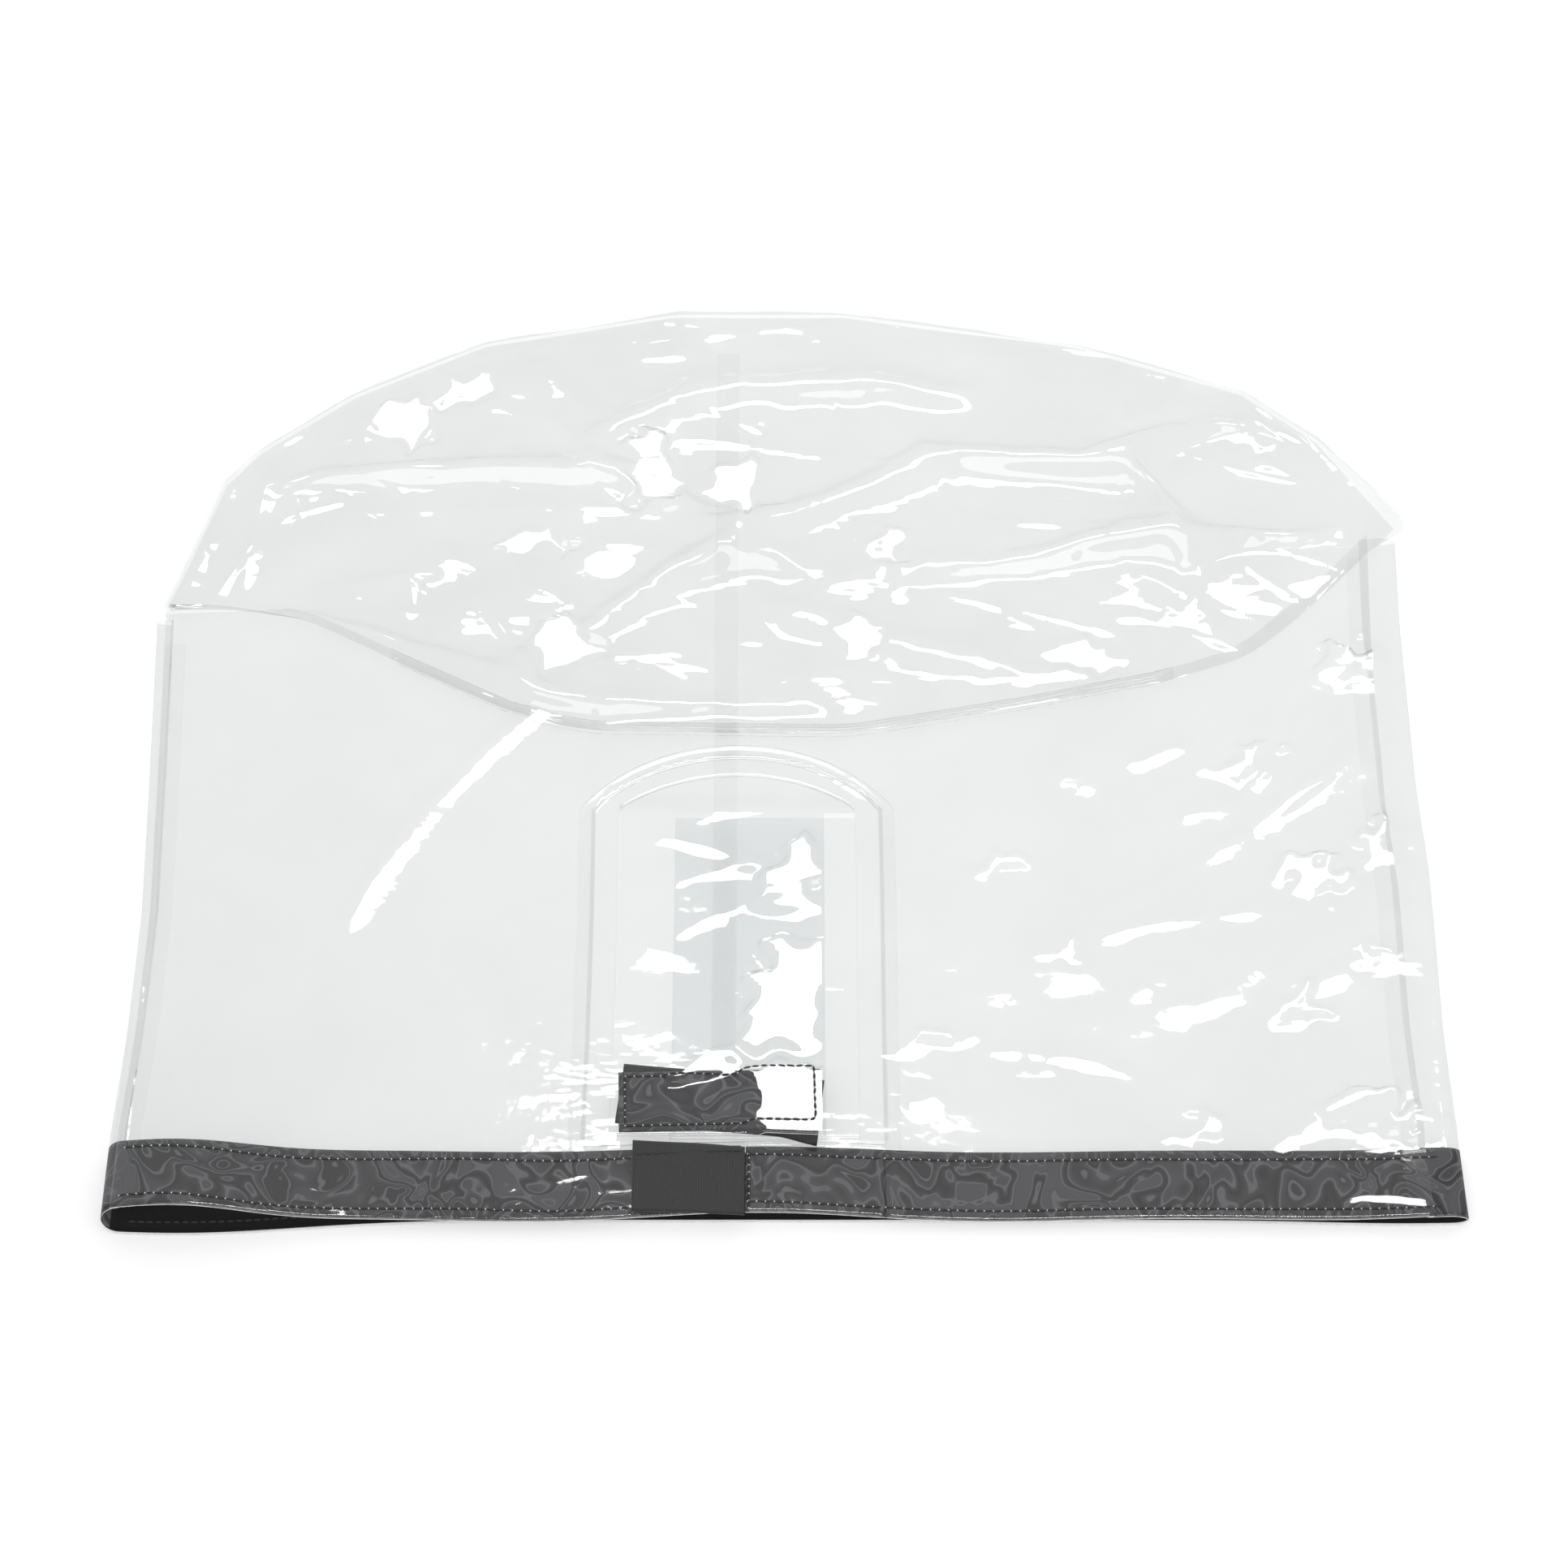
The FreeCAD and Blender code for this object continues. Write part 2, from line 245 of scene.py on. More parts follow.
def right_edge(y):
    """X of the tube's right outline at y."""
    sides = [(0, 320), (54, 318), (107, 316), (196, 316), (248, 313), (330, 312), (430, 315)]
    return interpolated(y, sides)


def fold_line(x):
    """Y of the crown's near edge, where its slack folds over the front film."""
    return interpolated(
        x,
        [(-320, 376), (-285, 376), (-242, 367), (-190, 336), (-129, 302), (-96, 294), (33, 292)]
        + [(120, 309), (189, 325), (233, 343), (275, 385), (320, 436)],
    )


def seam_line(x):
    """Y of the front film's hidden upper edge, under the crown."""
    return np.interp(x, [LEFT_SEAM, RIGHT_SEAM], [LEFT_CORNER, RIGHT_CORNER])


def leaned(x, y):
    """Y with its upper rows tilted, because the right corner stands further up than the left."""
    share = (x + HALF) / (2 * HALF)
    return y + (RIGHT_CORNER - LEFT_CORNER) * share * (np.maximum(y, 0) / LEFT_CORNER) ** 3


def warp(x, y):
    """Narrows the page so that its straight sides follow the outline."""
    tube = np.minimum(y, RIGHT_CORNER)
    share = np.where(x < 0, -left_edge(np.minimum(tube, LEFT_CORNER)), right_edge(tube)) / HALF
    return x * share


def front_shift(x, y):
    """How far the front's hem is pushed along the page, in mm: it wavers a little."""
    waver = 1.8 * ripples(x, 0 * x, 15, 300, 150, count=8)
    return (waver - 3.0) * (1 - step(y, 0, 90))


def back_shift(x, y):
    """How far the back's hem hangs below the front's, most at its left end."""
    slack = 7.5 * bell(x, -285, 80) + 2.0 * bell(x, 290, 60) + 0.8
    return -slack * (1 - step(y, 0, 90))


# ---- the front's relief


def front_height(x, y):
    """Height of the front film, in mm."""
    hump = 11.5 * bell(x, -280, 42) * np.exp(-((y / 75) ** 2))
    side = 3.0 * bell(x, 318, 40) + 2.5 * bell(x, -318, 36)
    flat = FRONT_Z - SETTLE * step(y, SETTLE_LOW, SETTLE_HIGH) + hump + side
    right = step(x, 40, 170)  # the right half is livelier than the left
    hem = step(y, 30, 75)  # the tape keeps the hem calm
    swell = 1.1 * ripples(x, y, 11, 240, 90, stretch=1.6, angle=35) * (0.2 + 0.5 * right)
    swell = swell * (0.25 + 0.75 * hem)
    waves = 0.26 * ripples(x, y, 12, 90, 40, stretch=2.2, angle=35) * right * hem
    fine = 0.12 * ripples(x, y, 13, 30, 12, stretch=2.0, angle=30) * (0.15 + 0.85 * right) * hem
    band = 0.03 * ripples(x, y, 14, 45, 18) + 0.6 * ripples(x, 0 * x, 16, 260, 140, count=8)
    band = band * (1 - hem)
    relief = 0.0
    for start, end, width, bend in FRONT_STREAKS:
        relief = relief + streak(x, y, start, end, width, bend)
    for centre, half_width, length, turn in FRONT_FACETS:
        relief = relief + facet(x, y, centre, half_width, length, turn=turn)
    return flat + swell + waves + fine + band + relief


# Pads that catch the light: centre, half-width, length and turn
FRONT_FACETS = [
    ((288, 338), 17, 30, 10),
    ((298, 222), 8, 24, 10),
    ((234, 274), 8, 24, -35),
    ((262, 205), 15, 24, -50),
    ((104, 210), 7, 18, -35),
    ((288, 155), 7, 8, 0),
    ((250, 122), 14, 14, 20),
    ((198, 50), 6, 20, -30),
    ((138, 158), 7, 12, -25),
    ((280, 60), 30, 16, -12),
    ((72, 104), 16, 9, 5),
    ((120, 84), 14, 6, 8),
]
CROWN_FACETS = [
    ((-70, 470), 11, 40, 8),
    ((-24, 462), 13, 28, -24),
    ((-196, 505), 16, 26, -35),
    ((-112, 352), 18, 26, 25),
    ((-168, 528), 12, 16, 20),
    ((52, 417), 7, 20, -10),
    ((36, 357), 8, 22, 10),
    ((150, 345), 24, 12, -15),
    ((200, 372), 14, 8, 10),
    ((-130, 420), 20, 8, 0),
    ((240, 490), 12, 8, -25),
]

# Long folds in the front film: start, end, width and sideways bow
FRONT_STREAKS = [
    ((-70, 362), (-222, 166), 7, -16),
    ((150, 178), (292, 284), 6, -5),
    ((150, 166), (245, 184), 5, 3),
    ((92, 98), (178, 80), 5, 5),
    ((176, 272), (206, 288), 4, 2),
    ((228, 40), (316, 74), 6, 6),
    ((60, 108), (84, 104), 5, 2),
    ((56, 64), (76, 72), 6, 0),
    ((262, 14), (312, 6), 3, 3),
    ((-244, 4), (-228, 2), 2.5, 0),
]


# ---- meshes


def put(x, y, z):
    """Page millimetres to an array of points in the frame's metres."""
    return np.stack(np.broadcast_arrays(x * MM, y * MM + HEM_Y, z * MM), axis=-1).reshape(-1, 3)


def linked(name, data):
    made = bpy.data.objects.new(name, data)
    bpy.context.scene.collection.objects.link(made)
    return made


def adjust(thing, **settings):
    for key, value in settings.items():
        setattr(thing, key, value)


def mesh_points(mesh):
    flat = np.empty(len(mesh.vertices) * 3)
    mesh.vertices.foreach_get("co", flat)
    return flat.reshape(-1, 3)


def settle(piece, body, stands_for=None):
    """Attaches a piece to its body, or bakes it in place for a hinged flap, and hides the CAD node
    it stands for. Like the photo's object it casts no shadow.
    """
    piece.visible_shadow = False
    if body in HINGES:
        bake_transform(piece)
    else:
        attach(piece, body)
    if stands_for:
        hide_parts(stands_for)
    return piece


def mesh_object(name, points, faces, material):
    """A smooth-shaded mesh."""
    mesh = bpy.data.meshes.new(name)
    mesh.from_pydata([tuple(p) for p in points], [], faces)
    mesh.validate()
    mesh.polygons.foreach_set("use_smooth", [True] * len(mesh.polygons))
    mesh.materials.append(material)
    return linked(name, mesh)


# Flaps on hinges, whose pieces are baked in place instead of attached to a body (nothing here
# bends them): the body that each grows from, and the X where its bend starts and ends
HINGES = {
    "overlap_flap": ("cover", OVERLAP_LEFT - 4, OVERLAP_LEFT + 16),
    "hem_strap": ("cover", STRAP_RIGHT + 2, STRAP_RIGHT - 12),
    "hem_tab": ("hem_strap", SLIT + 1, SLIT - 10),
}


def grid_faces(rows, columns, start=0, wrap=False):
    """Quads of a grid of points stored row by row."""
    i, j = np.mgrid[0 : rows - 1, 0 : columns if wrap else columns - 1]
    a = start + i * columns + j
    b = start + i * columns + (j + 1) % columns
    return np.stack([a, b, b + columns, a + columns], -1).reshape(-1, 4).tolist()


def border(grid):
    """The values on a 2-D array's border, in order round it from the first."""
    return [*grid[0], *grid[1:, -1], *grid[-1, -2::-1], *grid[-2:0:-1, 0]]


def film_sheet(name, stands_for, points, faces, chains, body, material=None):
    """An open film. Along each chain of points it shows its cut edge, with a painted highlight."""
    points, faces = np.asarray(points), list(faces)
    film_faces = len(faces)
    for chain in chains:
        chain = [int(i) for i in chain]
        below = len(points)
        points = np.vstack([points, points[chain] - (0, 0, FILM_GAP * MM)])
        for k in range(len(chain) - 1):
            faces.append([chain[k], below + k, below + k + 1, chain[k + 1]])
    piece = mesh_object(name, points, faces, material or FILM)
    # The cut edge faces are painted pale: painted highlight.
    piece.data.materials.append(FILM_EDGE_HIGHLIGHT)
    for face in piece.data.polygons[film_faces:]:
        face.material_index = 1
    return settle(piece, body, stands_for)


def film_grid(name, stands_for, x, y, z, body, material=None, edges="nflr", slot="film"):
    """An open film from 2-D arrays of page coordinates, with cut edges on its near, far, left
    and right sides as asked."""
    index = np.arange(x.size).reshape(x.shape)
    sides = {"n": index[0], "f": index[-1], "l": index[:, 0], "r": index[:, -1]}
    chains = [sides[letter] for letter in edges]
    points, faces = put(x, y, z), grid_faces(*x.shape)
    return film_sheet(name, stands_for, points, faces, chains, body, material)


def slab(name, stands_for, x, y, z, material, body, slot):
    """A closed tape from 2-D arrays that give its middle surface."""
    middle = put(x, y, z).reshape(*x.shape, 3)
    across = np.gradient(middle, axis=0)
    along = np.gradient(middle, axis=1)
    normal = np.cross(along, across)
    normal /= np.linalg.norm(normal, axis=-1, keepdims=True) + 1e-12
    rows, columns = x.shape
    count = rows * columns
    top = (middle + normal * TAPE_THICK * MM / 2).reshape(-1, 3)
    bottom = (middle - normal * TAPE_THICK * MM / 2).reshape(-1, 3)
    faces = grid_faces(rows, columns)
    faces += [f[::-1] for f in grid_faces(rows, columns, count)]
    rim = border(np.arange(count).reshape(rows, columns))
    for a, b in zip(rim, rim[1:] + rim[:1]):
        faces.append([int(b), int(a), int(a) + count, int(b) + count])
    piece = mesh_object(name, np.vstack([top, bottom]), faces, material)
    return settle(piece, body, stands_for)


def inside(points, outline):
    """True for each point within a closed outline."""
    x, y = points.T
    within = np.zeros(len(points), bool)
    for (x0, y0), (x1, y1) in zip(outline, np.roll(outline, -1, axis=0)):
        if y0 != y1:
            crosses = (y0 > y) != (y1 > y)
            within ^= crosses & (x < (x1 - x0) * (y - y0) / (y1 - y0) + x0)
    return within


def divided(outline, spacing):
    """The outline with its sides divided into even steps."""
    points = []
    for a, b in zip(outline, np.roll(outline, -1, axis=0)):
        count = max(1, round(float(np.linalg.norm(b - a)) / spacing))
        points += [a + (b - a) * k / count for k in range(count)]
    return np.array(points)


def flat_sheet(outline, spacing):
    """Points and triangles that fill a page outline evenly. The outline's own points come first."""
    edge = divided(np.array(outline, float), spacing)
    low, high = edge.min(axis=0), edge.max(axis=0)
    ys = np.arange(low[1], high[1], spacing * 0.866)
    xs = np.arange(low[0], high[0], spacing)
    x, y = np.meshgrid(xs, ys)
    x = x + spacing / 2 * (np.arange(len(ys)) % 2)[:, None]
    lattice = np.stack([x.ravel(), y.ravel()], axis=-1)
    lattice = lattice[inside(lattice, edge)]
    nearest = np.full(len(lattice), 1e9)
    for a, b in zip(edge, np.roll(edge, -1, axis=0)):
        nearest = np.minimum(nearest, np.hypot(*(lattice - (a + b) / 2).T))
    points = np.vstack([edge, lattice[nearest > spacing * 0.75]])
    count = len(edge)
    sides = [(i, (i + 1) % count) for i in range(count)]
    made = delaunay_2d_cdt([Vector(p) for p in points], sides, [], 1, 1e-6)
    return np.array([tuple(p) for p in made[0]]), [list(f) for f in made[2]]


def arch(out, low, steps=18):
    """The pouch's arch as page points, moved outwards by out: left foot, over the top, right foot."""
    left, right = ARCH_LEFT - out, ARCH_RIGHT + out
    middle, half = (left + right) / 2, (right - left) / 2
    top = WELD_TOP - WELD_WIDTH + out
    radius = (half**2 + (top - ARCH_SPRING) ** 2) / (2 * (top - ARCH_SPRING))
    sweep = math.asin(half / radius)
    curve = [
        (middle + radius * math.sin(t), top - radius + radius * math.cos(t))
        for t in np.linspace(-sweep, sweep, steps)
    ]
    return [(left, low), *curve, (right, low)]


# ---- node materials


def new_material(name):
    material = bpy.data.materials.new(name)
    material.use_nodes = True
    tree = material.node_tree
    tree.nodes.clear()
    return material, tree


def node(tree, kind, inputs=None, **settings):
    """A new node, with its inputs linked to sockets or set to plain values."""
    made = tree.nodes.new("ShaderNode" + kind)
    adjust(made, **settings)
    for key, value in (inputs or {}).items():
        if isinstance(value, bpy.types.NodeSocket):
            tree.links.new(value, made.inputs[key])
        else:
            made.inputs[key].default_value = value
    return made


def ramp(tree, factor, stops):
    """Greys along a factor, from (position, grey) stops."""
    made = node(tree, "ValToRGB", {"Fac": factor})
    elements = made.color_ramp.elements
    while len(elements) < len(stops):
        elements.new(0.5)
    for element, (position, value) in zip(elements, stops):
        element.position = position
        element.color = (value, value, value, 1)
    return made.outputs["Color"]


def coordinates(tree, scale=(1, 1, 1)):
    places = node(tree, "TexCoord").outputs["Object"]
    return node(tree, "Mapping", {"Vector": places, "Scale": scale}).outputs["Vector"]


def noise(tree, places, scale, detail=2.0, roughness=0.5, distortion=0.0):
    inputs = {"Vector": places, "Scale": scale, "Detail": detail}
    inputs |= {"Roughness": roughness, "Distortion": distortion}
    return node(tree, "TexNoise", inputs).outputs["Fac"]


def maths(tree, operation, *values):
    return node(tree, "Math", dict(enumerate(values)), operation=operation).outputs[0]


def mixed(tree, share, first, second):
    """A colour between two others; each is a socket or four numbers."""
    inputs = {"Fac": share, "Color1": first, "Color2": second}
    return node(tree, "MixRGB", inputs).outputs["Color"]


def bumped(tree, height, strength, distance):
    inputs = {"Height": height, "Strength": strength, "Distance": distance}
    return node(tree, "Bump", inputs).outputs["Normal"]


def turned_away(tree, blend, normal):
    """0 where the surface is seen straight on, growing towards grazing."""
    return node(tree, "LayerWeight", {"Blend": blend, "Normal": normal}).outputs["Facing"]


def show(tree, shader, output="BSDF"):
    """Makes a shader node the material's surface."""
    node(tree, "OutputMaterial", {"Surface": shader.outputs[output]})


def film_material(
    name, clear, dense, gloss_share=0.055, roughness=0.045, ripple=0.10, crumple=2.0, haze=0.1
):
    """Thin clear film: tinted see-through with a mirror gloss that grows towards grazing from the
    share seen straight on, drawn-out crumples and a faint cloudy haze."""
    material, tree = new_material(name)
    plain = coordinates(tree)
    ripple_noise = noise(tree, plain, 70.0, roughness=0.45)
    drawn = noise(tree, coordinates(tree, (10, 26, 10)), 1.0, 3.0, 0.55, distortion=0.6)
    relief = maths(tree, "MULTIPLY_ADD", drawn, crumple, ripple_noise)
    normal = bumped(tree, relief, ripple, 0.002)
    cloud = noise(tree, plain, 11.0, 4.0, 0.6, distortion=0.8)
    cloudy = node(
        tree,
        "MapRange",
        {"Value": cloud, "From Min": 0.3, "From Max": 0.7, "To Min": 0.0, "To Max": haze},
    )
    tint = mixed(tree, turned_away(tree, 0.32, normal), (*clear, 1), (*dense, 1))
    clouded = mixed(tree, cloudy.outputs[0], tint, (*dense, 1))
    see = node(tree, "BsdfTransparent", {"Color": clouded})
    gloss = node(
        tree,
        "BsdfAnisotropic",
        {"Color": (1, 1, 1, 1), "Roughness": roughness, "Normal": normal},
    )
    steep = maths(tree, "POWER", turned_away(tree, 0.5, normal), 5.0)
    mirror = maths(tree, "MULTIPLY_ADD", steep, 1 - gloss_share, gloss_share)
    layers = {0: mirror, 1: see.outputs["BSDF"], 2: gloss.outputs["BSDF"]}
    show(tree, node(tree, "MixShader", layers), "Shader")
    return material


def edge_highlight_material():
    """The cut edge of film, painted pale as a highlight for the light piped along the sheet."""
    material, tree = new_material("Film cut edge painted highlight")
    speckle = noise(tree, coordinates(tree), 400.0, 3.0)
    colour = ramp(tree, speckle, [(0.3, 0.62), (0.6, 0.93)])
    show(tree, node(tree, "BsdfPrincipled", {"Base Color": colour, "Roughness": 0.25}))
    return material


def tape_material(name, dark, light, swirl, rib_pitch=1.1, rib_share=0.25, rough=0.75):
    """Black woven tape: fine ribs, and paler swirls where the film over it is wetted out."""
    material, tree = new_material(name)
    ribs_per_metre = 1 / (rib_pitch * MM)
    rib = node(
        tree,
        "TexWave",
        {
            "Vector": coordinates(tree),
            "Scale": ribs_per_metre * 2 * math.pi / 20,
            "Distortion": 0.6,
            "Detail": 1.0,
            "Detail Scale": 4.0,
        },
        bands_direction="X",
    ).outputs["Fac"]
    weft = noise(tree, coordinates(tree, (2600, 900, 900)), 1.0)
    contour = noise(tree, coordinates(tree, (1, 0.8, 0.2)), 38.0, 1.0, distortion=1.4)
    rings = maths(tree, "SINE", maths(tree, "MULTIPLY", contour, 55.0))
    lines = ramp(tree, rings, [(0.55, 0.0), (0.95, 1.0)])
    patches = ramp(tree, contour, [(0.38, 0.15), (0.48, 0.5), (0.53, 0.05), (0.64, 0.55)])
    paler = maths(tree, "MULTIPLY", maths(tree, "MAXIMUM", patches, lines), swirl)
    weave = maths(tree, "MULTIPLY", maths(tree, "MULTIPLY", rib, weft), rib_share)
    share = maths(tree, "ADD", paler, weave)
    shader = node(
        tree,
        "BsdfPrincipled",
        {
            "Base Color": mixed(tree, share, (*dark, 1), (*light, 1)),
            "Roughness": rough,
            "Normal": bumped(tree, maths(tree, "ADD", rib, weft), 0.35, 0.0003),
            "Sheen Weight": 0.15,
            "Specular IOR Level": 0.3,
        },
    )
    show(tree, shader)
    return material


def thread_material():
    """Black thread with a fine slanting twist."""
    material, tree = new_material("Black thread")
    twist = node(
        tree,
        "TexWave",
        {"Vector": coordinates(tree), "Scale": 900.0, "Distortion": 1.0},
        bands_direction="DIAGONAL",
    ).outputs["Fac"]
    colour = ramp(tree, twist, [(0.2, 0.004), (0.8, 0.02)])
    inputs = {"Base Color": colour, "Roughness": 0.6, "Normal": bumped(tree, twist, 0.4, 0.0001)}
    show(tree, node(tree, "BsdfPrincipled", inputs))
    return material


def floor_material():
    material, tree = new_material("Pale floor")
    mottle = noise(tree, coordinates(tree), 3.0, 3.0)
    colour = ramp(tree, mottle, [(0.3, 0.9), (0.7, 0.92)])
    show(tree, node(tree, "BsdfDiffuse", {"Color": colour}))
    return material


FILM = film_material("Clear film", (0.943, 0.947, 0.944), (0.80, 0.81, 0.812))
# The crown's crumpled film: a darker tint and heavier cloudy haze than the flat film, painted shade of
# its crumples.
CRUMPLED_SHADED = film_material(
    "Crumpled film painted shade", (0.912, 0.916, 0.917), (0.82, 0.828, 0.832), crumple=7, haze=0.4
)
THIN = film_material("Pouch film", (0.945, 0.950, 0.949), (0.82, 0.84, 0.845))
WELD = film_material("Welded film", (0.993, 0.994, 0.994), (0.92, 0.93, 0.93), 0.02, 0.08, 0.15)
# Pale grey for film cut edges and needle holes: painted highlight
FILM_EDGE_HIGHLIGHT = edge_highlight_material()
HEM_BLACK = tape_material("Hem tape", (0.012, 0.012, 0.014), (0.13, 0.13, 0.137), 0.75, rib_share=0.12)
PILE_BLACK = tape_material("Closure tape", (0.012, 0.012, 0.013), (0.06, 0.06, 0.063), 0.25, 1.6)
TAB_BLACK = tape_material("Ribbed tab tape", (0.017, 0.017, 0.018), (0.085, 0.085, 0.087), 0, 0.8, 0.7)
# The hem tape's back length, seen inside the mouth: its loop pile side, made much darker as painted
# shade.
NAP_AND_SHADE_BLACK = tape_material("Tape nap and painted shade", (0.003, 0.003, 0.003), (0.012, 0.012, 0.012), 0.1, 1.6, 0.3, 1.0)
THREAD = thread_material()


# ---- films of the tube and crown


def tube_section(y, inset, left_end, right_end):
    """Page coordinates of strips round the tube: from left_end on the front, over the left fold,
    along the back, over the right fold, to right_end on the front. One row for each y."""
    y = np.asarray(y, float)[:, None]
    turn = np.linspace(0, math.pi, 15)[None, :]
    inner_left, inner_right = -HALF + FOLD_WIDTH, HALF - FOLD_WIDTH
    back = np.linspace(inner_left, inner_right, 110)[None, 1:-1]
    lengths = []
    for inner, end in ((inner_left, left_end), (inner_right, right_end)):
        count = max(3, int(abs(end - inner) / 5) + 1)
        lengths.append(np.linspace(end, inner, count)[None, :-1])
    flat = [np.broadcast_to(part, (len(y), part.shape[1])) for part in (lengths[0], back, lengths[1])]

    def front(x):
        x, page_y = np.broadcast_arrays(x, leaned(x, y))
        return x, page_y + front_shift(x, page_y), front_height(x, page_y) - inset

    def bottom(x):
        x, page_y = np.broadcast_arrays(x, leaned(x, y))
        return x, page_y + back_shift(x, page_y), back_height(x, page_y) + inset

    def fold(inner, side):
        _, y_top, z_top = front(np.broadcast_to(inner, y.shape))
        _, y_low, z_low = bottom(np.broadcast_to(inner, y.shape))
        x = inner + side * (FOLD_WIDTH - inset) * np.sin(turn)
        share = (1 - np.cos(turn)) / 2
        return x + 0 * y, y_top + (y_low - y_top) * share, z_top + (z_low - z_top) * share

    pieces = [
        front(flat[0]),
        fold(inner_left, -1),
        bottom(flat[1]),
        [part[:, ::-1] for part in fold(inner_right, 1)],
        front(flat[2][:, ::-1]),
    ]
    x, page_y, z = [np.concatenate([p[k] for p in pieces], axis=1) for k in range(3)]
    return warp(x, y), page_y, z


def back_film():
    """The back film with both side folds, and its domed end."""
    rows = np.linspace(0, LEFT_CORNER - 4, 66)
    x, y, z = tube_section(rows, FILM_GAP, LEFT_SEAM + 3, RIGHT_SEAM - 3)
    tube = put(x, y, z)
    faces = grid_faces(*x.shape)
    index = np.arange(x.size).reshape(x.shape)
    last = np.flatnonzero(np.abs(z[-1] - back_height(x[-1], y[-1]) - FILM_GAP) < 0.01)
    join = [(x[-1, k], y[-1, k]) for k in last[::-1]]
    points, dome_faces = flat_sheet(inset(FAR_EDGE, 2.5) + join, 6.2)
    dome = put(*points.T, back_height(*points.T) + FILM_GAP)
    faces += [[k + len(tube) for k in face] for face in dome_faces]
    points = np.vstack([tube, dome])
    piece = film_sheet("Back_film", "back_panel", points, faces, [index[0]], "cover")
    shape = bmesh.new()
    shape.from_mesh(piece.data)
    bmesh.ops.remove_doubles(shape, verts=shape.verts, dist=0.05 * MM)
    shape.to_mesh(piece.data)
    shape.free()


def back_height(x, y):
    """Height of the back film, in mm: it lies on the table with low waves behind the hem."""
    wave = 0.3 * (1 + ripples(x, y, 21, 160, 60)) * step(y, 60, 140)
    return BACK_Z + np.clip(wave, 0, 1.2)


def inset(points, distance):
    """An open line of page points moved to its right by a distance."""
    points = np.array(points, float)
    heading = np.gradient(points, axis=0)
    heading /= np.linalg.norm(heading, axis=1, keepdims=True)
    moved = points + distance * heading[:, ::-1] * (1, -1)
    return [tuple(p) for p in moved]


def front_film():
    """The front film, with the pouch's cut-out and the slot that the strap bridges."""
    opening = [(SLIT, 0), (SLIT, STRAP_HIGH), *arch(0, STRAP_HIGH)[:-1], (ARCH_RIGHT, 0)]
    top = [
        (x, min(seam_line(x), fold_line(x) + UNDER_CROWN))
        for x in np.linspace(RIGHT_SEAM, LEFT_SEAM, 60)
    ]
    outline = [(LEFT_SEAM, 0), *opening, (RIGHT_SEAM, 0), *top]
    spacing = 2.3
    points, faces = flat_sheet(outline, spacing)
    x, y = points.T
    around = len(divided(np.array(outline, float), spacing))
    open_edge = [k for k in range(around) if y[k] < WELD_TOP]
    chains = np.split(open_edge, np.flatnonzero(np.diff(open_edge) > 1) + 1)
    points = put(warp(x, y), y + front_shift(x, y), front_height(x, y))
    piece = film_sheet("Front_film", "front_panel", points, faces, chains, "cover")


def crown_patch(columns, rows):
    """Page coordinates of the crown's slack middle: from its near fold to its far edge."""
    xs = np.linspace(-HALF + 5, HALF - 5, 60)
    near = divided_line([(x, fold_line(x) + 3) for x in xs], columns)
    far = inset(FAR_EDGE, ROUNDING)
    left = divided_line([near[0], *far[:3]], rows)
    right = divided_line([near[-1], *far[-2:-3:-1]], rows)
    top = divided_line(far[2:-1], columns)
    u = np.linspace(0, 1, columns)[None, :, None]
    v = np.linspace(0, 1, rows)[:, None, None]
    sides = (1 - u) * left[:, None] + u * right[:, None]
    spans = (1 - v) * near[None] + v * top[None]
    corners = (1 - v) * ((1 - u) * near[0] + u * near[-1]) + v * ((1 - u) * top[0] + u * top[-1])
    page = sides + spans - corners
    return page[..., 0], page[..., 1], *np.broadcast_arrays(u[..., 0], v[..., 0])


def slumped(x, y, u, v):
    """The crown's slack film after it falls as cloth: heights and places in page millimetres."""
    dome = np.sin(math.pi * v) * np.clip(1.8 * np.sin(math.pi * u), 0, 1)
    z = CROWN_Z + dome * (CROWN_SLACK + 4 * ripples(x, y, 5, 140, 60, stretch=2.5, angle=4))
    per_unit = 100.0  # page millimetres per solver unit, which keeps the solver steady
    frames = 45
    mesh = bpy.data.meshes.new("Slack film")
    start = np.stack([x, y, z], -1).reshape(-1, 3) / per_unit
    mesh.from_pydata([tuple(p) for p in start], [], grid_faces(*x.shape))
    cloth = linked("Slack film", mesh)
    held = np.zeros(x.shape, bool)
    held[[0, -1]] = held[:, [0, -1]] = True
    pins = cloth.vertex_groups.new(name="Held edge")
    pins.add([int(i) for i in np.flatnonzero(held)], 1.0, "ADD")
    solver = cloth.modifiers.new("Cloth", "CLOTH")
    settings = solver.settings
    adjust(settings, quality=6, mass=0.3, air_damping=2, vertex_group_mass="Held edge")
    adjust(settings, tension_stiffness=40, compression_stiffness=40)
    adjust(settings, shear_stiffness=20, bending_stiffness=2)
    adjust(settings, tension_damping=15, compression_damping=15, shear_damping=10, bending_damping=1)
    contact = solver.collision_settings
    adjust(contact, collision_quality=3, distance_min=0.003, use_self_collision=True)
    adjust(contact, self_distance_min=0.003, self_friction=2)
    bpy.ops.mesh.primitive_plane_add(size=30, location=(0, 4, (CROWN_Z - 2) / per_unit))
    table = bpy.context.object
    table.modifiers.new("Collision", "COLLISION")
    adjust(table.collision, thickness_outer=0.01, cloth_friction=8)
    adjust(solver.point_cache, frame_start=1, frame_end=frames)
    for number in range(1, frames + 1):
        bpy.context.scene.frame_set(number)
    fallen = cloth.evaluated_get(bpy.context.evaluated_depsgraph_get())
    places = mesh_points(fallen.data).reshape(*x.shape, 3) * per_unit
    bpy.data.objects.remove(cloth)
    bpy.data.objects.remove(table)
    bpy.context.scene.frame_set(1)
    return places


